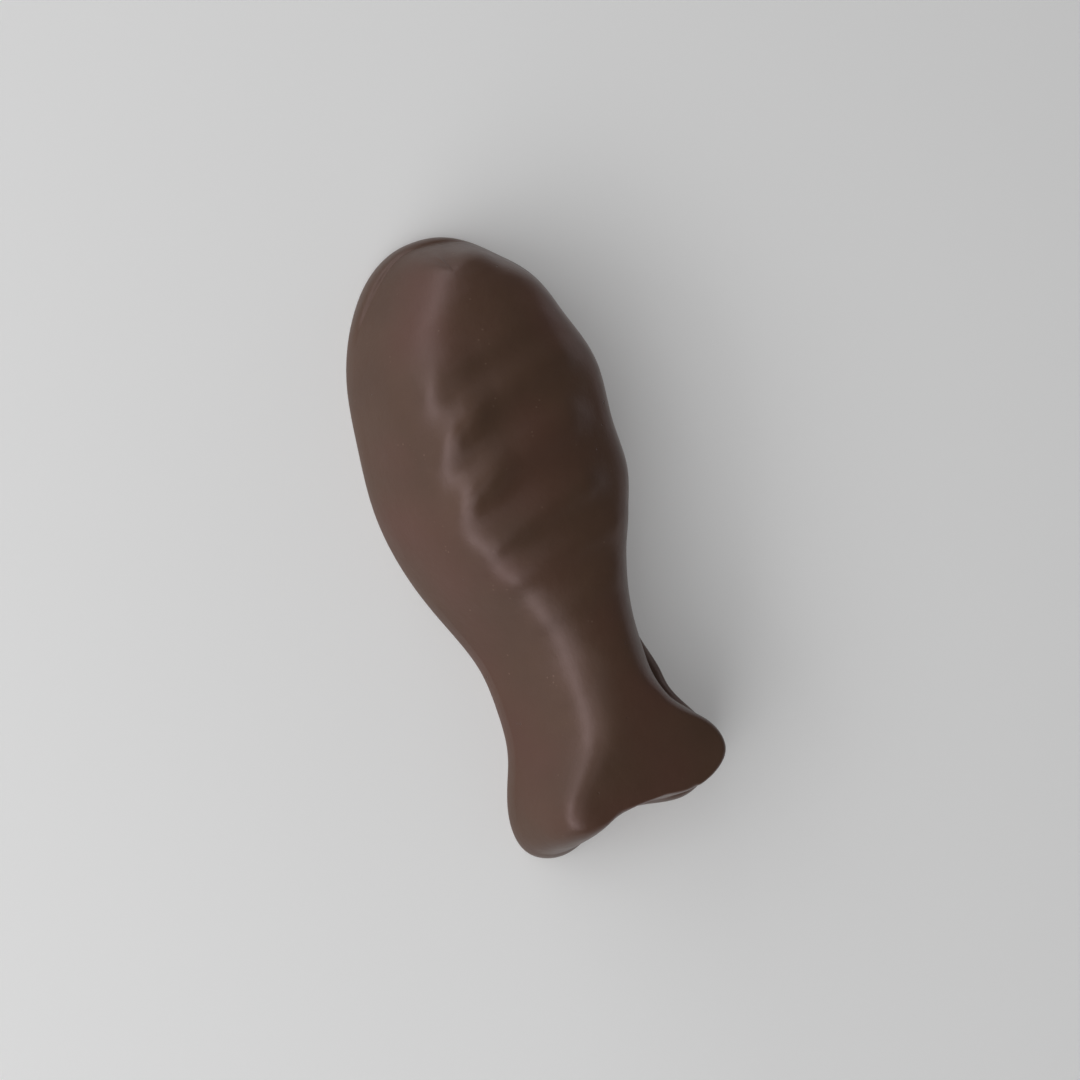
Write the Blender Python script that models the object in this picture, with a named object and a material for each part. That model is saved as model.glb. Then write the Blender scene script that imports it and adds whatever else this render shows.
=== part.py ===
"""A chocolate fish: one solid sweet lying on its flat underside.

The body is a loaf-like fish with a blunt nose, a full belly, a waist and a tail
with two round lobes. Slanting ridges cross its back, and chocolate pooled
around the base forms a thin foot.

The surface is drawn by ribs. Each rib runs from the base line of the body, a
closed curve seen in plan, up the side and over to a spine along the middle.
+X points to the nose, +Y to the fish's left and +Z up.
"""

import bpy
import numpy as np

# Driving sizes, in metres
LENGTH = 0.100

# All shapes below are in hundredths of the length

# Stations from nose to tail. Each gives where its two ribs meet on the spine (x),
# then where each starts on the base line, how steeply it climbs and the radius of
# its shoulder, to the left (x, y, degrees, radius) and to the right.
BASE_LINE_HEIGHT = 2.6
STATIONS = [
    (45.2, 48.5, 0.3, 71, 6.5, 48.5, 0.3, 71, 6.5),
    (44.1, 48.1, 4.2, 67, 7.5, 47.9, -4.0, 71, 7.0),
    (42.4, 46.1, 7.9, 64, 9.0, 46.2, -7.9, 74, 5.0),
    (40.1, 42.7, 11.7, 65, 12.0, 43.0, -11.6, 75, 6.0),
    (36.0, 37.9, 15.6, 69, 16.0, 38.3, -15.6, 76, 7.5),
    (29.8, 31.0, 18.6, 73, 21.0, 31.0, -18.1, 77, 8.0),
    (21.8, 22.0, 20.2, 74.5, 23.0, 22.3, -19.9, 78, 8.0),
    (12.8, 12.9, 21.2, 74.5, 23.0, 13.1, -19.1, 78, 8.5),
    (4.6, 4.6, 20.7, 74.5, 20.0, 4.9, -18.9, 78, 9.5),
    (-3.0, -3.3, 18.8, 72.5, 17.5, -3.0, -16.3, 78, 10.5),
    (-10.0, -10.5, 16.1, 67, 14.0, -10.2, -13.5, 77, 10.0),
    (-17.0, -17.7, 13.7, 61.5, 11.5, -17.4, -11.9, 76, 9.0),
    (-24.0, -24.8, 13.2, 59, 11.0, -24.6, -11.9, 75, 8.5),
    (-30.4, -31.6, 13.8, 59.5, 11.5, -31.2, -12.8, 78, 5.0),
    (-35.0, -37.0, 15.8, 64.5, 13.5, -36.6, -16.5, 80, 3.8),
    (-38.0, -42.3, 17.4, 71.5, 16.0, -41.1, -18.0, 81, 3.5),
    (-39.6, -47.2, 16.8, 74.5, 15.0, -44.3, -17.2, 81, 3.8),
    (-40.4, -49.6, 13.4, 78, 12.0, -46.6, -14.1, 83, 4.5),
    (-40.8, -49.4, 8.9, 82, 9.0, -47.9, -8.9, 84, 5.0),
    (-41.0, -47.6, 4.2, 84, 6.5, -47.3, -4.2, 85, 5.0),
    (-41.1, -46.9, -0.1, 85, 5.5, -46.9, -0.1, 85, 5.5),
]

# The top, from nose to tail: x, height in the middle, and how far it has
# dropped ten hundredths to the side
CREST = [
    (50.0, 8.0, 1.2),
    (43.0, 13.6, 1.2),
    (36.0, 17.2, 1.3),
    (27.0, 19.7, 1.3),
    (16.0, 20.6, 1.3),
    (5.0, 20.1, 1.3),
    (-8.0, 18.3, 1.5),
    (-20.0, 17.1, 1.8),
    (-31.0, 16.9, 1.2),
    (-41.0, 15.3, 0.5),
    (-50.0, 14.0, 0.0),
]

# Ridges across the back. Each crosses the middle at x, slanting and bending as
# y grows: x, slant, bend, height towards the left and towards the right, width
# on the tail side and on the nose side, and the y of its ends.
RIDGES = [
    (30.2, -0.22, -0.005, 0.90, 0.50, 3.2, 3.8, 12.0, -12.0),
    (23.1, -0.29, -0.010, 1.60, 0.80, 3.2, 3.4, 12.5, -13.0),
    (13.5, -0.28, -0.010, 1.60, 0.90, 3.2, 3.6, 13.0, -10.0),
    (3.5, -0.20, -0.006, 0.80, 0.80, 2.6, 3.0, 12.0, -9.0),
    (-3.9, -0.14, 0.0, 0.60, 0.70, 2.6, 2.8, 10.5, -12.0),
    (-11.9, -0.25, 0.0, 0.45, 0.35, 2.4, 3.0, 8.0, -9.0),
    (-16.2, -0.20, 0.0, 0.15, 0.15, 2.0, 2.6, 7.0, -6.0),
    (-25.0, -0.20, 0.0, 0.50, 0.25, 2.4, 3.0, 6.0, -8.0),
]
RIDGE_FADE = 3.0
# The left height turns into the right one between these y
HEIGHT_SPAN = (2.0, 8.0)
RIDGE_FOOT_HEIGHTS = (3.0, 9.0)

# The foot: how far it stands out of the base line, and where it stands out more
# and is higher (x, y, extra reach, extra height, spread)
FOOT_REACH = 0.55
FOOT_LUMPS = [
    (44.0, 9.0, 0.95, 0.8, 8.0),
    (48.5, -2.0, 0.60, 0.4, 5.0),
    (32.5, -17.5, 0.55, -0.8, 7.0),
    (-28.5, -13.2, 1.80, -1.3, 5.5),
    (-47.6, -12.0, 0.85, 0.0, 4.0),
    (-49.5, 11.0, 0.25, 0.0, 4.0),
]
# Its rings from the top down: the share of its reach, then the share of its height
# where it is narrow and where it stands out as a ledge
FOOT_RINGS = [
    (0.22, 0.85, 0.95),
    (0.45, 0.68, 0.86),
    (0.68, 0.49, 0.70),
    (0.86, 0.30, 0.45),
    (0.97, 0.14, 0.20),
    (1.00, 0.05, 0.06),
    (0.90, 0.00, 0.00),
]
# The reaches between which the foot turns from narrow into a ledge
LEDGE_REACHES = (0.6, 1.2)

# How far up the ribs the body is lifted to meet the foot, as a share of them
LIFT_REACH = 0.6

# Mesh density
RIBS_PER_STATION = 4
RINGS = 18
RING_SPREAD = 1.5


def closed_spline(points, steps):
    """Smooth closed curve through the points, with equal steps between them."""
    count = len(points)
    weights = np.zeros((count, count))
    for row in range(count):
        weights[row, row] = 4 / 6
        weights[row, row - 1] = 1 / 6
        weights[row, (row + 1) % count] = 1 / 6
    control = np.linalg.solve(weights, points)
    position = np.arange(count * steps) / steps
    span = position.astype(int)
    t = (position - span)[:, None]
    basis = (
        (1 - t) ** 3 / 6,
        (3 * t**3 - 6 * t**2 + 4) / 6,
        (-3 * t**3 + 3 * t**2 + 3 * t + 1) / 6,
        t**3 / 6,
    )
    return sum(b * control[(span + k - 1) % count] for k, b in enumerate(basis))


def natural_spline(knots, values, x):
    """Smooth curve through the values at the knots, which fall along x."""
    knots = np.asarray(knots)[::-1]
    values = np.asarray(values)[::-1]
    gap = np.diff(knots)
    slope = np.diff(values) / gap
    system = np.eye(len(knots))
    bend = np.zeros(len(knots))
    for i in range(1, len(knots) - 1):
        system[i, i - 1 : i + 2] = gap[i - 1], 2 * (gap[i - 1] + gap[i]), gap[i]
        bend[i] = 6 * (slope[i] - slope[i - 1])
    bend = np.linalg.solve(system, bend)
    i = np.clip(np.searchsorted(knots, x) - 1, 0, len(gap) - 1)
    after = x - knots[i]
    start = slope[i] - gap[i] * (2 * bend[i] + bend[i + 1]) / 6
    curl = (bend[i + 1] - bend[i]) / (6 * gap[i])
    return values[i] + after * (start + after * (bend[i] / 2 + after * curl))


def rib_settings():
    """Each rib's spine x, base point, slope and shoulder radius."""
    table = np.array(STATIONS)
    left = table[:, [0, 1, 2, 3, 4]]
    right = table[-2:0:-1][:, [0, 5, 6, 7, 8]]
    return closed_spline(np.vstack([left, right]), RIBS_PER_STATION)


def outward(base):
    """Unit vectors pointing out of the base line, in plan."""
    along = np.roll(base, -1, axis=0) - np.roll(base, 1, axis=0)
    along /= np.linalg.norm(along, axis=1)[:, None]
    return np.stack([along[:, 1], -along[:, 0]], axis=1)


def top_height(plan):
    """Height of the domed top over points in plan."""
    x, height, drop = np.array(CREST).T
    middle = natural_spline(x, height, plan[:, 0])
    camber = natural_spline(x, drop, plan[:, 0]) / 100
    return middle - camber * plan[:, 1] ** 2


def foot_size(base):
    """How far the foot reaches out of each base point, and its height there."""
    reach = np.full(len(base), FOOT_REACH)
    height = np.full(len(base), BASE_LINE_HEIGHT)
    for x, y, extra_reach, extra_height, spread in FOOT_LUMPS:
        distance = np.hypot(base[:, 0] - x, base[:, 1] - y)
        share = np.exp(-((distance / spread) ** 2))
        reach += extra_reach * share
        height += extra_height * share
    return reach, height


def smooth_step(value, low, high):
    t = np.clip((value - low) / (high - low), 0, 1)
    return t * t * (3 - 2 * t)


def body_grid():
    """Points of the plain body: rings from the base line to the spine."""
    spine_x, base_x, base_y, slope, radius = rib_settings().T
    base = np.stack([base_x, base_y], axis=1)
    opposite = (-np.arange(len(base))) % len(base)
    spine = np.stack([spine_x, (base_y + base_y[opposite]) / 2], axis=1)
    away = outward(base)
    start = foot_size(base)[1]
    rise = np.tan(np.radians(slope))
    # The smooth minimum of side and top rounds a shoulder of this radius
    square = rise**2 / 4
    softness = radius * square / (1 + square) ** 1.5
    shared = (softness + softness[opposite]) / 2
    # At the nose and the tail end the two sides are one, and count as one
    alike = smooth_step((away * away[opposite]).sum(axis=1), 0, 1)
    steps = (np.arange(RINGS + 1) / RINGS) ** RING_SPREAD
    rings = []
    for t in steps:
        plan = base + (spine - base) * t
        gap = ((base - plan) * away).sum(axis=1)
        far_gap = ((base[opposite] - plan) * away[opposite]).sum(axis=1)
        side = start + rise * gap
        far_side = start[opposite] + rise[opposite] * np.maximum(far_gap, gap)
        up = smooth_step(t, 0, 1)
        soft = softness + (shared - softness) * up
        sides = np.exp(-side / soft) + (1 - alike * (1 - up)) * np.exp(-far_side / soft)
        sides /= 1 + alike * up
        height = -soft * np.log(sides + np.exp(-top_height(plan) / soft))
        rings.append(np.column_stack([plan, height]))
    rings = np.array(rings)
    # The lowest ring stays level with the foot
    lift = start - rings[0, :, 2]
    rings[:, :, 2] += lift * (1 - smooth_step(steps, 0, LIFT_REACH))[:, None]
    return rings, base


def ridge_height(points):
    """How far the slanting ridges raise each point."""
    x, y, z = points.T
    leftness = smooth_step(y, *HEIGHT_SPAN)
    raised = np.zeros_like(x)
    for middle, slant, bend, left, right, tail_width, nose_width, left_end, right_end in RIDGES:
        offset = x - (middle + slant * y + bend * y * y)
        width = np.where(offset < 0, tail_width, nose_width)
        height = right + (left - right) * leftness
        height *= smooth_step(left_end - y, -RIDGE_FADE, RIDGE_FADE)
        height *= smooth_step(y - right_end, -RIDGE_FADE, RIDGE_FADE)
        raised += height * np.exp(-((offset / width) ** 2))
    return raised * smooth_step(z, *RIDGE_FOOT_HEIGHTS)


def foot_rings(base, height):
    """Rings of the foot, from the body's lowest ring down to the flat underside."""
    reach = foot_size(base)[0]
    ledge = smooth_step(reach, *LEDGE_REACHES)
    away = outward(base)
    rings = []
    for out, narrow_up, ledge_up in FOOT_RINGS:
        up = narrow_up + (ledge_up - narrow_up) * ledge
        rings.append(np.column_stack([base + away * (out * reach)[:, None], up * height]))
    return np.array(rings)


def plain_fish():
    """Points, in hundredths, and faces of the fish before its ridges."""
    body, base = body_grid()
    foot = foot_rings(base, body[0, :, 2])
    count = len(base)
    loops = list(foot[::-1]) + list(body[:-1])
    points = np.vstack(loops + [body[-1, : count // 2 + 1]])
    faces = [tuple(reversed(range(count)))]
    spine = len(loops) * count
    for ring in range(len(loops)):
        low = ring * count
        for rib in range(count):
            after = (rib + 1) % count
            if low + count < spine:
                over = (low + count + after, low + count + rib)
            else:
                over = (spine + min(after, count - after), spine + min(rib, count - rib))
            faces.append((low + rib, low + after, *over))
    return points, faces


def fish_mesh(name):
    """The ridged fish in metres, with its footprint centred on the origin."""
    points, faces = plain_fish()
    mesh = bpy.data.meshes.new(name)
    mesh.from_pydata(points.tolist(), [], faces)
    normals = np.array([normal.vector[:] for normal in mesh.vertex_normals])
    points += normals * ridge_height(points)[:, None]
    low, high = points.min(axis=0), points.max(axis=0)
    middle = (low + high) / 2
    points -= (middle[0], middle[1], low[2])
    points *= LENGTH / (high[0] - low[0])
    mesh.vertices.foreach_set("co", points.ravel())
    mesh.update()
    mesh.validate()
    mesh.shade_smooth()
    return mesh


def chocolate():
    """Satin milk chocolate."""
    material = bpy.data.materials.new("chocolate")
    material.use_nodes = True
    shader = material.node_tree.nodes["Principled BSDF"]
    shader.inputs["Base Color"].default_value = (0.10, 0.058, 0.038, 1)
    shader.inputs["Roughness"].default_value = 0.4
    shader.inputs["Metallic"].default_value = 0
    return material


def build():
    for obj in list(bpy.data.objects):
        bpy.data.objects.remove(obj, do_unlink=True)
    mesh = fish_mesh("chocolate_fish")
    mesh.materials.append(chocolate())
    fish = bpy.data.objects.new("chocolate_fish", mesh)
    bpy.context.scene.collection.objects.link(fish)


build()
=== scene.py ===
"""The looks of the chocolate fish: a fine skin over the solid, its chocolate,
a pale floor, studio light and the camera."""

import math
import bpy
import numpy as np
from mathutils import Matrix, Vector, noise


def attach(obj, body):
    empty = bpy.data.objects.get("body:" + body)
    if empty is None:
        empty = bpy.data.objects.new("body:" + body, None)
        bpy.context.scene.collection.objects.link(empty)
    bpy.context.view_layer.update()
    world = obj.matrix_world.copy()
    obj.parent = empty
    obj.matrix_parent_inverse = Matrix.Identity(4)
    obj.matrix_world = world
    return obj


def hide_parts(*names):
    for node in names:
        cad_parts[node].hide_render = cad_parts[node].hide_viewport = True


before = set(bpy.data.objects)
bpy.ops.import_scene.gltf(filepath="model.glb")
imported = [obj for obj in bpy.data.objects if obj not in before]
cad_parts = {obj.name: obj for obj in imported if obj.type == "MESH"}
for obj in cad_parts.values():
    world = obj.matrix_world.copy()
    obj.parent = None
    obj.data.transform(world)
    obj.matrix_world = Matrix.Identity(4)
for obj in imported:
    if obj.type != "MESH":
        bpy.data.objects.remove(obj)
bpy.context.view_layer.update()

# Driving sizes, in metres
LENGTH = 0.100

# All shapes below are in hundredths of the length

# Stations from nose to tail. Each gives where its two ribs meet on the spine (x),
# then where each starts on the base line, how steeply it climbs and the radius of
# its shoulder, to the left (x, y, degrees, radius) and to the right.
BASE_LINE_HEIGHT = 2.6
STATIONS = [
    (45.2, 48.5, 0.3, 71, 6.5, 48.5, 0.3, 71, 6.5),
    (44.1, 48.1, 4.2, 67, 7.5, 47.9, -4.0, 71, 7.0),
    (42.4, 46.1, 7.9, 64, 9.0, 46.2, -7.9, 74, 5.0),
    (40.1, 42.7, 11.7, 65, 12.0, 43.0, -11.6, 75, 6.0),
    (36.0, 37.9, 15.6, 69, 16.0, 38.3, -15.6, 76, 7.5),
    (29.8, 31.0, 18.6, 73, 21.0, 31.0, -18.1, 77, 8.0),
    (21.8, 22.0, 20.2, 74.5, 23.0, 22.3, -19.9, 78, 8.0),
    (12.8, 12.9, 21.2, 74.5, 23.0, 13.1, -19.1, 78, 8.5),
    (4.6, 4.6, 20.7, 74.5, 20.0, 4.9, -18.9, 78, 9.5),
    (-3.0, -3.3, 18.8, 72.5, 17.5, -3.0, -16.3, 78, 10.5),
    (-10.0, -10.5, 16.1, 67, 14.0, -10.2, -13.5, 77, 10.0),
    (-17.0, -17.7, 13.7, 61.5, 11.5, -17.4, -11.9, 76, 9.0),
    (-24.0, -24.8, 13.2, 59, 11.0, -24.6, -11.9, 75, 8.5),
    (-30.4, -31.6, 13.8, 59.5, 11.5, -31.2, -12.8, 78, 5.0),
    (-35.0, -37.0, 15.8, 64.5, 13.5, -36.6, -16.5, 80, 3.8),
    (-38.0, -42.3, 17.4, 71.5, 16.0, -41.1, -18.0, 81, 3.5),
    (-39.6, -47.2, 16.8, 74.5, 15.0, -44.3, -17.2, 81, 3.8),
    (-40.4, -49.6, 13.4, 78, 12.0, -46.6, -14.1, 83, 4.5),
    (-40.8, -49.4, 8.9, 82, 9.0, -47.9, -8.9, 84, 5.0),
    (-41.0, -47.6, 4.2, 84, 6.5, -47.3, -4.2, 85, 5.0),
    (-41.1, -46.9, -0.1, 85, 5.5, -46.9, -0.1, 85, 5.5),
]

# The top, from nose to tail: x, height in the middle, and how far it has
# dropped ten hundredths to the side
CREST = [
    (50.0, 8.0, 1.2),
    (43.0, 13.6, 1.2),
    (36.0, 17.2, 1.3),
    (27.0, 19.7, 1.3),
    (16.0, 20.6, 1.3),
    (5.0, 20.1, 1.3),
    (-8.0, 18.3, 1.5),
    (-20.0, 17.1, 1.8),
    (-31.0, 16.9, 1.2),
    (-41.0, 15.3, 0.5),
    (-50.0, 14.0, 0.0),
]

# Ridges across the back. Each crosses the middle at x, slanting and bending as
# y grows: x, slant, bend, height towards the left and towards the right, width
# on the tail side and on the nose side, and the y of its ends.
RIDGES = [
    (30.2, -0.22, -0.005, 0.90, 0.50, 3.2, 3.8, 12.0, -12.0),
    (23.1, -0.29, -0.010, 1.60, 0.80, 3.2, 3.4, 12.5, -13.0),
    (13.5, -0.28, -0.010, 1.60, 0.90, 3.2, 3.6, 13.0, -10.0),
    (3.5, -0.20, -0.006, 0.80, 0.80, 2.6, 3.0, 12.0, -9.0),
    (-3.9, -0.14, 0.0, 0.60, 0.70, 2.6, 2.8, 10.5, -12.0),
    (-11.9, -0.25, 0.0, 0.45, 0.35, 2.4, 3.0, 8.0, -9.0),
    (-16.2, -0.20, 0.0, 0.15, 0.15, 2.0, 2.6, 7.0, -6.0),
    (-25.0, -0.20, 0.0, 0.50, 0.25, 2.4, 3.0, 6.0, -8.0),
]
RIDGE_FADE = 3.0
# The left height turns into the right one between these y
HEIGHT_SPAN = (2.0, 8.0)
RIDGE_FOOT_HEIGHTS = (3.0, 9.0)

# The foot: how far it stands out of the base line, and where it stands out more
# and is higher (x, y, extra reach, extra height, spread)
FOOT_REACH = 0.55
FOOT_LUMPS = [
    (44.0, 9.0, 0.95, 0.8, 8.0),
    (48.5, -2.0, 0.60, 0.4, 5.0),
    (32.5, -17.5, 0.55, -0.8, 7.0),
    (-28.5, -13.2, 1.80, -1.3, 5.5),
    (-47.6, -12.0, 0.85, 0.0, 4.0),
    (-49.5, 11.0, 0.25, 0.0, 4.0),
]
# Its rings from the top down: the share of its reach, then the share of its height
# where it is narrow and where it stands out as a ledge
FOOT_RINGS = [
    (0.22, 0.85, 0.95),
    (0.45, 0.68, 0.86),
    (0.68, 0.49, 0.70),
    (0.86, 0.30, 0.45),
    (0.97, 0.14, 0.20),
    (1.00, 0.05, 0.06),
    (0.90, 0.00, 0.00),
]
# The reaches between which the foot turns from narrow into a ledge
LEDGE_REACHES = (0.6, 1.2)

# How far up the ribs the body is lifted to meet the foot, as a share of them
LIFT_REACH = 0.6

# Mesh density
RIBS_PER_STATION = 14
RINGS = 64
RING_SPREAD = 1.5


def closed_spline(points, steps):
    """Smooth closed curve through the points, with equal steps between them."""
    count = len(points)
    weights = np.zeros((count, count))
    for row in range(count):
        weights[row, row] = 4 / 6
        weights[row, row - 1] = 1 / 6
        weights[row, (row + 1) % count] = 1 / 6
    control = np.linalg.solve(weights, points)
    position = np.arange(count * steps) / steps
    span = position.astype(int)
    t = (position - span)[:, None]
    basis = (
        (1 - t) ** 3 / 6,
        (3 * t**3 - 6 * t**2 + 4) / 6,
        (-3 * t**3 + 3 * t**2 + 3 * t + 1) / 6,
        t**3 / 6,
    )
    return sum(b * control[(span + k - 1) % count] for k, b in enumerate(basis))


def natural_spline(knots, values, x):
    """Smooth curve through the values at the knots, which fall along x."""
    knots = np.asarray(knots)[::-1]
    values = np.asarray(values)[::-1]
    gap = np.diff(knots)
    slope = np.diff(values) / gap
    system = np.eye(len(knots))
    bend = np.zeros(len(knots))
    for i in range(1, len(knots) - 1):
        system[i, i - 1 : i + 2] = gap[i - 1], 2 * (gap[i - 1] + gap[i]), gap[i]
        bend[i] = 6 * (slope[i] - slope[i - 1])
    bend = np.linalg.solve(system, bend)
    i = np.clip(np.searchsorted(knots, x) - 1, 0, len(gap) - 1)
    after = x - knots[i]
    start = slope[i] - gap[i] * (2 * bend[i] + bend[i + 1]) / 6
    curl = (bend[i + 1] - bend[i]) / (6 * gap[i])
    return values[i] + after * (start + after * (bend[i] / 2 + after * curl))


def rib_settings():
    """Each rib's spine x, base point, slope and shoulder radius."""
    table = np.array(STATIONS)
    left = table[:, [0, 1, 2, 3, 4]]
    right = table[-2:0:-1][:, [0, 5, 6, 7, 8]]
    return closed_spline(np.vstack([left, right]), RIBS_PER_STATION)


def outward(base):
    """Unit vectors pointing out of the base line, in plan."""
    along = np.roll(base, -1, axis=0) - np.roll(base, 1, axis=0)
    along /= np.linalg.norm(along, axis=1)[:, None]
    return np.stack([along[:, 1], -along[:, 0]], axis=1)


def top_height(plan):
    """Height of the domed top over points in plan."""
    x, height, drop = np.array(CREST).T
    middle = natural_spline(x, height, plan[:, 0])
    camber = natural_spline(x, drop, plan[:, 0]) / 100
    return middle - camber * plan[:, 1] ** 2


def foot_size(base):
    """How far the foot reaches out of each base point, and its height there."""
    reach = np.full(len(base), FOOT_REACH)
    height = np.full(len(base), BASE_LINE_HEIGHT)
    for x, y, extra_reach, extra_height, spread in FOOT_LUMPS:
        distance = np.hypot(base[:, 0] - x, base[:, 1] - y)
        share = np.exp(-((distance / spread) ** 2))
        reach += extra_reach * share
        height += extra_height * share
    return reach, height


def smooth_step(value, low, high):
    """Climbs smoothly from 0 at low to 1 at high."""
    t = np.clip((value - low) / (high - low), 0, 1)
    return t * t * (3 - 2 * t)


def body_grid():
    """Points of the plain body: rings from the base line to the spine."""
    spine_x, base_x, base_y, slope, radius = rib_settings().T
    base = np.stack([base_x, base_y], axis=1)
    opposite = (-np.arange(len(base))) % len(base)
    spine = np.stack([spine_x, (base_y + base_y[opposite]) / 2], axis=1)
    away = outward(base)
    start = foot_size(base)[1]
    rise = np.tan(np.radians(slope))
    # The smooth minimum of side and top rounds a shoulder of this radius
    square = rise**2 / 4
    softness = radius * square / (1 + square) ** 1.5
    shared = (softness + softness[opposite]) / 2
    # At the nose and the tail end the two sides are one, and count as one
    alike = smooth_step((away * away[opposite]).sum(axis=1), 0, 1)
    steps = (np.arange(RINGS + 1) / RINGS) ** RING_SPREAD
    rings = []
    for t in steps:
        plan = base + (spine - base) * t
        gap = ((base - plan) * away).sum(axis=1)
        far_gap = ((base[opposite] - plan) * away[opposite]).sum(axis=1)
        side = start + rise * gap
        far_side = start[opposite] + rise[opposite] * np.maximum(far_gap, gap)
        up = smooth_step(t, 0, 1)
        soft = softness + (shared - softness) * up
        sides = np.exp(-side / soft) + (1 - alike * (1 - up)) * np.exp(-far_side / soft)
        sides /= 1 + alike * up
        height = -soft * np.log(sides + np.exp(-top_height(plan) / soft))
        rings.append(np.column_stack([plan, height]))
    rings = np.array(rings)
    # The lowest ring stays level with the foot
    lift = start - rings[0, :, 2]
    rings[:, :, 2] += lift * (1 - smooth_step(steps, 0, LIFT_REACH))[:, None]
    return rings, base


def ridge_height(points):
    """How far the slanting ridges raise each point."""
    x, y, z = points.T
    leftness = smooth_step(y, *HEIGHT_SPAN)
    raised = np.zeros_like(x)
    for middle, slant, bend, left, right, tail_width, nose_width, left_end, right_end in RIDGES:
        offset = x - (middle + slant * y + bend * y * y)
        width = np.where(offset < 0, tail_width, nose_width)
        height = right + (left - right) * leftness
        height *= smooth_step(left_end - y, -RIDGE_FADE, RIDGE_FADE)
        height *= smooth_step(y - right_end, -RIDGE_FADE, RIDGE_FADE)
        raised += height * np.exp(-((offset / width) ** 2))
    return raised * smooth_step(z, *RIDGE_FOOT_HEIGHTS)


def foot_rings(base, height):
    """Rings of the foot, from the body's lowest ring down to the flat underside."""
    reach = foot_size(base)[0]
    ledge = smooth_step(reach, *LEDGE_REACHES)
    away = outward(base)
    rings = []
    for out, narrow_up, ledge_up in FOOT_RINGS:
        up = narrow_up + (ledge_up - narrow_up) * ledge
        rings.append(np.column_stack([base + away * (out * reach)[:, None], up * height]))
    return np.array(rings)


def plain_fish():
    """Points, in hundredths, and faces of the fish before its ridges."""
    body, base = body_grid()
    foot = foot_rings(base, body[0, :, 2])
    count = len(base)
    loops = list(foot[::-1]) + list(body[:-1])
    points = np.vstack(loops + [body[-1, : count // 2 + 1]])
    faces = [tuple(reversed(range(count)))]
    spine = len(loops) * count
    for ring in range(len(loops)):
        low = ring * count
        for rib in range(count):
            after = (rib + 1) % count
            if low + count < spine:
                over = (low + count + after, low + count + rib)
            else:
                over = (spine + min(after, count - after), spine + min(rib, count - rib))
            faces.append((low + rib, low + after, *over))
    return points, faces


def fish_mesh(name):
    """The ridged fish in metres, with its footprint centred on the origin."""
    points, faces = plain_fish()
    mesh = bpy.data.meshes.new(name)
    mesh.from_pydata(points.tolist(), [], faces)
    normals = np.array([normal.vector[:] for normal in mesh.vertex_normals])
    points += normals * ridge_height(points)[:, None]
    low, high = points.min(axis=0), points.max(axis=0)
    middle = (low + high) / 2
    points -= (middle[0], middle[1], low[2])
    points *= LENGTH / (high[0] - low[0])
    mesh.vertices.foreach_set("co", points.ravel())
    mesh.update()
    mesh.validate()
    mesh.shade_smooth()
    return mesh


# Unevenness of the skin: size of the swells and their height, in metres
SWELLS = [(0.016, 0.00014), (0.007, 0.00005)]
SWELL_FOOT = (0.001, 0.004)


def uneven(mesh):
    """Raises and lowers the skin in soft swells, except at its underside."""
    count = len(mesh.vertices)
    points = np.empty(count * 3)
    mesh.vertices.foreach_get("co", points)
    points = points.reshape(count, 3)
    normals = np.array([normal.vector[:] for normal in mesh.vertex_normals])
    swell = np.zeros(count)
    for size, height in SWELLS:
        swell += [height * noise.noise(Vector(point) / size) for point in points]
    swell *= smooth_step(points[:, 2], *SWELL_FOOT)
    points += normals * swell[:, None]
    mesh.vertices.foreach_set("co", points.ravel())
    mesh.update()


def texture(tree, kind, scale, detail):
    """A noise or Voronoi texture over the object's own coordinates."""
    place = tree.nodes.new("ShaderNodeTexCoord").outputs["Object"]
    made = tree.nodes.new(kind)
    made.inputs["Scale"].default_value = scale
    made.inputs["Detail"].default_value = detail
    tree.links.new(place, made.inputs["Vector"])
    return made


def noise_pattern(tree, scale, detail):
    return texture(tree, "ShaderNodeTexNoise", scale, detail).outputs["Fac"]


def cell_pattern(tree, scale):
    """The distance from the middle of the nearest of many irregular cells."""
    return texture(tree, "ShaderNodeTexVoronoi", scale, 0).outputs["Distance"]


def ranged(tree, value, span, results):
    """The value mapped from a span to the results at its two ends."""
    made = tree.nodes.new("ShaderNodeMapRange")
    made.inputs["From Min"].default_value = span[0]
    made.inputs["From Max"].default_value = span[1]
    made.inputs["To Min"].default_value = results[0]
    made.inputs["To Max"].default_value = results[1]
    tree.links.new(value, made.inputs["Value"])
    return made.outputs["Result"]


def blended(tree, share, first, second):
    """A colour between the two, each a plain colour or another node's colour."""
    made = tree.nodes.new("ShaderNodeMix")
    made.data_type = "RGBA"
    tree.links.new(share, made.inputs["Factor"])
    for socket, colour in (("A_Color", first), ("B_Color", second)):
        target = next(q for q in made.inputs if q.identifier == socket)
        if isinstance(colour, tuple):
            target.default_value = (*colour, 1)
        else:
            tree.links.new(colour, target)
    return next(q for q in made.outputs if q.identifier == "Result_Color")


def product(tree, first, second):
    """One value times the other."""
    made = tree.nodes.new("ShaderNodeMath")
    made.operation = "MULTIPLY"
    tree.links.new(first, made.inputs[0])
    tree.links.new(second, made.inputs[1])
    return made.outputs["Value"]


def bumped(tree, height, distance, before):
    """The surface with the height on it, over an earlier bump where there is one."""
    made = tree.nodes.new("ShaderNodeBump")
    made.inputs["Strength"].default_value = 1
    made.inputs["Distance"].default_value = distance
    tree.links.new(height, made.inputs["Height"])
    if before:
        tree.links.new(before, made.inputs["Normal"])
    return made.outputs["Normal"]


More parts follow.
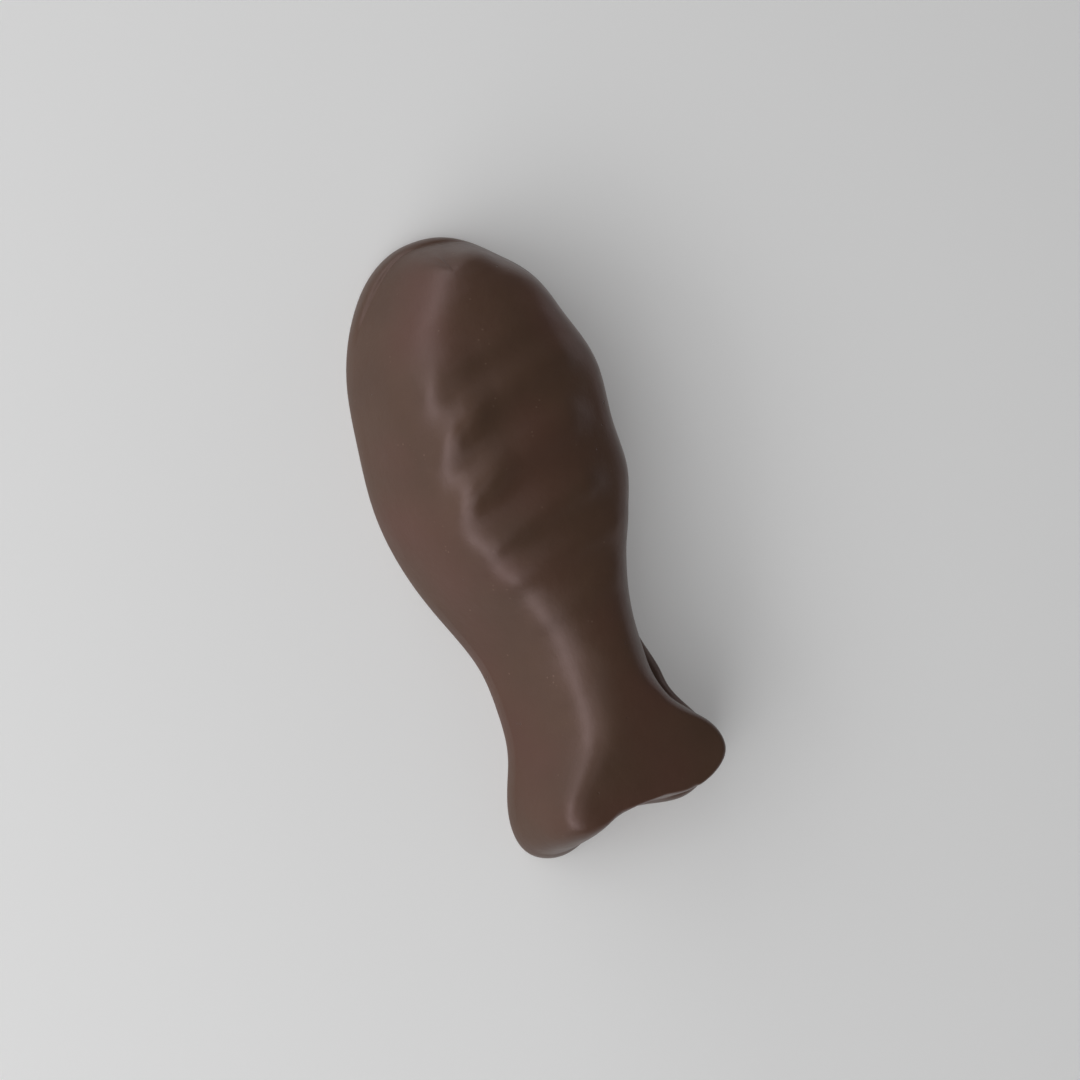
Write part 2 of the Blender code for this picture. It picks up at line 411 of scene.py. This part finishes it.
# Chocolate: the brown between and in its faint clouds, of its blushes and light specks,
# then the painted shade in its pinholes, then its sheen
BROWN_DARK = (0.069, 0.0380, 0.0232)
BROWN_LIGHT = (0.081, 0.0445, 0.0270)
BLUSH = (0.091, 0.0403, 0.0281)
SPECK = (0.170, 0.110, 0.080)
# Painted shade: the darker brown put into the pinholes
PIT_SHADE = (0.060, 0.032, 0.021)
REFRACTION = 1.5
SHEEN_TINT = (1, 0.775, 0.81, 1)
SHEEN_ROUGHNESS = (0.33, 0.39)
# How fine its noise patterns are, in bumps per metre, and their levels of detail
CLOUDS = (90, 3)
BLUSHES = (55, 1)
RIPPLES = (420, 2)
GRAIN = (2600, 2)
THINNING = (230, 1)
# Cells per metre, each with a pinhole or a speck in its middle
PIT_CELLS = 520
SPECK_CELLS = 900
# The values between which each pattern turns from none to full
CLOUD_SPAN = (0.3, 0.7)
BLUSH_SPAN = (0.45, 0.75)
RIPPLE_SPAN = (0.3, 0.7)
PIT_SPAN = (0.11, 0.05)
SPECK_SPAN = (0.2, 0.08)
# The thinning takes most pinholes and some specks away between these values
PIT_THINNING = (0.64, 0.68)
SPECK_THINNING = (0.36, 0.30)
# How strongly blushes and specks show at most
BLUSH_SHARE = 0.7
SPECK_SHARE = 0.5
# Depths of the ripples, the grain and the pinholes, in metres
RIPPLE_DEPTH = 0.00006
GRAIN_DEPTH = 0.000012
PIT_DEPTH = 0.00006


def chocolate():
    """Satin milk chocolate with faint clouds, light specks and pinholes, and painted shade in
    the pinholes.
    """
    material = bpy.data.materials.new("chocolate")
    material.use_nodes = True
    tree = material.node_tree
    shader = tree.nodes["Principled BSDF"]
    shader.inputs["IOR"].default_value = REFRACTION
    shader.inputs["Specular Tint"].default_value = SHEEN_TINT
    clouds = noise_pattern(tree, *CLOUDS)
    blushes = noise_pattern(tree, *BLUSHES)
    ripples = noise_pattern(tree, *RIPPLES)
    grain = noise_pattern(tree, *GRAIN)
    thinning = noise_pattern(tree, *THINNING)
    pits_and_shade = ranged(tree, cell_pattern(tree, PIT_CELLS), PIT_SPAN, (0, 1))
    pits_and_shade = product(tree, pits_and_shade, ranged(tree, thinning, PIT_THINNING, (0, 1)))
    specks = ranged(tree, cell_pattern(tree, SPECK_CELLS), SPECK_SPAN, (0, 1))
    specks = product(tree, specks, ranged(tree, thinning, SPECK_THINNING, (0, 1)))
    colour = blended(tree, ranged(tree, clouds, CLOUD_SPAN, (0, 1)), BROWN_DARK, BROWN_LIGHT)
    colour = blended(tree, ranged(tree, blushes, BLUSH_SPAN, (0, BLUSH_SHARE)), colour, BLUSH)
    colour = blended(tree, ranged(tree, specks, (0, 1), (0, SPECK_SHARE)), colour, SPECK)
    # Painted shade: the pinholes are darkened, on top of their real dent below
    colour = blended(tree, pits_and_shade, colour, PIT_SHADE)
    roughness = ranged(tree, ripples, RIPPLE_SPAN, SHEEN_ROUGHNESS)
    surface = bumped(tree, ripples, RIPPLE_DEPTH, None)
    surface = bumped(tree, grain, GRAIN_DEPTH, surface)
    surface = bumped(tree, ranged(tree, pits_and_shade, (0, 1), (1, 0)), PIT_DEPTH, surface)
    tree.links.new(colour, shader.inputs["Base Color"])
    tree.links.new(roughness, shader.inputs["Roughness"])
    tree.links.new(surface, shader.inputs["Normal"])
    return material


def plain(name, colour, glow):
    """A matt material that glows a little, for the floor."""
    material = bpy.data.materials.new(name)
    material.use_nodes = True
    shader = material.node_tree.nodes["Principled BSDF"]
    shader.inputs["Base Color"].default_value = (*colour, 1)
    shader.inputs["Roughness"].default_value = 1
    shader.inputs["Specular IOR Level"].default_value = 0
    shader.inputs["Emission Color"].default_value = (1, 1, 1, 1)
    shader.inputs["Emission Strength"].default_value = glow
    return material


def add_fish():
    """The fish's skin, in place of the plain solid."""
    mesh = fish_mesh("fish_skin")
    uneven(mesh)
    mesh.materials.append(chocolate())
    fish = bpy.data.objects.new("fish_skin", mesh)
    bpy.context.scene.collection.objects.link(fish)
    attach(fish, "root")
    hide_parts("chocolate_fish")


# The floor: half its side in metres, its grey and its glow
FLOOR_HALF = 2.0
FLOOR_COLOUR = (0.8, 0.8, 0.8)
FLOOR_GLOW = 0.12


def add_floor():
    """A pale square that the fish lies on."""
    mesh = bpy.data.meshes.new("floor")
    corners = [(-FLOOR_HALF, -FLOOR_HALF, 0), (FLOOR_HALF, -FLOOR_HALF, 0)]
    corners += [(FLOOR_HALF, FLOOR_HALF, 0), (-FLOOR_HALF, FLOOR_HALF, 0)]
    mesh.from_pydata(corners, [], [(0, 1, 2, 3)])
    mesh.materials.append(plain("floor", FLOOR_COLOUR, FLOOR_GLOW))
    floor = bpy.data.objects.new("floor", mesh)
    bpy.context.scene.collection.objects.link(floor)


# The camera looks almost straight down, leaning to the fish's left and nose,
# and is rolled so that the nose points up and to the left of the picture
CAMERA_LEAN_LEFT = math.radians(17)
CAMERA_LEAN_NOSE = math.radians(3)
CAMERA_ROLL = math.radians(19.65)
# In metres: how far it is from its aim, and how much it sees across the picture there
CAMERA_DISTANCE = 0.6
FRAME_WIDTH = 0.1701
CAMERA_AIM = (-0.00101, -0.00037, 0.00948)
# In millimetres
SENSOR = 36


def add_camera():
    """The camera in the photo's place."""
    back = Vector((math.tan(CAMERA_LEAN_NOSE), math.tan(CAMERA_LEAN_LEFT), 1)).normalized()
    along = (Vector((1, 0, 0)) - back * back.x).normalized()
    across = back.cross(along)
    right = -along * math.sin(CAMERA_ROLL) - across * math.cos(CAMERA_ROLL)
    up = back.cross(right)
    data = bpy.data.cameras.new("camera")
    data.sensor_width = SENSOR
    data.lens = SENSOR * CAMERA_DISTANCE / FRAME_WIDTH
    camera = bpy.data.objects.new("camera", data)
    pose = Matrix((right, up, back)).transposed().to_4x4()
    pose.translation = Vector(CAMERA_AIM) + back * CAMERA_DISTANCE
    camera.matrix_world = pose
    bpy.context.scene.collection.objects.link(camera)
    bpy.context.scene.camera = camera


# Softboxes round the fish, on its left, overhead and on its right: length and width
LEFT_BOX = (0.56, 0.23)
TOP_BOX = (0.45, 0.45)
RIGHT_BOX = (0.60, 0.28)
# Each one's azimuth from the nose towards the fish's left and its height above the
# floor, in degrees, then its size and brightness
LIGHTS = [
    (10, 8, LEFT_BOX, 2.5),
    (50, 8, LEFT_BOX, 1.4),
    (90, 8, LEFT_BOX, 0.35),
    (130, 8, LEFT_BOX, 0.35),
    (10, 24, LEFT_BOX, 0.5),
    (50, 24, LEFT_BOX, 1.9),
    (90, 24, LEFT_BOX, 3.7),
    (130, 24, LEFT_BOX, 3.0),
    (50, 40, LEFT_BOX, 0.7),
    (90, 40, LEFT_BOX, 0.8),
    (130, 40, LEFT_BOX, 1.6),
    (10, 57, LEFT_BOX, 0.45),
    (50, 57, LEFT_BOX, 0.1),
    (90, 57, LEFT_BOX, 0.2),
    (130, 57, LEFT_BOX, 0.8),
    (90, 80, TOP_BOX, 0.35),
    (-75, 10, RIGHT_BOX, 0.75),
    (-120, 10, RIGHT_BOX, 0.6),
    (-160, 10, RIGHT_BOX, 0.45),
]
LIGHT_DISTANCE = 0.8
LIGHT_AIM = (0, 0, 0.01)
# Brightness of the even light from all round
SKY = 0.10


def add_light(azimuth, height, size, brightness):
    """A softbox that faces the fish, as bright on its surface whatever its size."""
    azimuth = math.radians(azimuth)
    height = math.radians(height)
    length, width = size
    level = math.cos(height)
    back = Vector((math.cos(azimuth) * level, math.sin(azimuth) * level, math.sin(height)))
    side = Vector((-math.sin(azimuth), math.cos(azimuth), 0))
    data = bpy.data.lights.new("softbox", "AREA")
    data.shape = "RECTANGLE"
    data.size = length
    data.size_y = width
    data.energy = brightness * math.pi * length * width
    light = bpy.data.objects.new("softbox", data)
    pose = Matrix((side, back.cross(side), back)).transposed().to_4x4()
    pose.translation = Vector(LIGHT_AIM) + back * LIGHT_DISTANCE
    light.matrix_world = pose
    bpy.context.scene.collection.objects.link(light)


def add_sky():
    """Even white light from all round."""
    world = bpy.data.worlds.new("sky")
    world.use_nodes = True
    background = world.node_tree.nodes["Background"]
    background.inputs["Color"].default_value = (1, 1, 1, 1)
    background.inputs["Strength"].default_value = SKY
    bpy.context.scene.world = world


add_fish()
add_floor()
add_camera()
for light in LIGHTS:
    add_light(*light)
add_sky()
bpy.context.scene.view_settings.view_transform = "Standard"
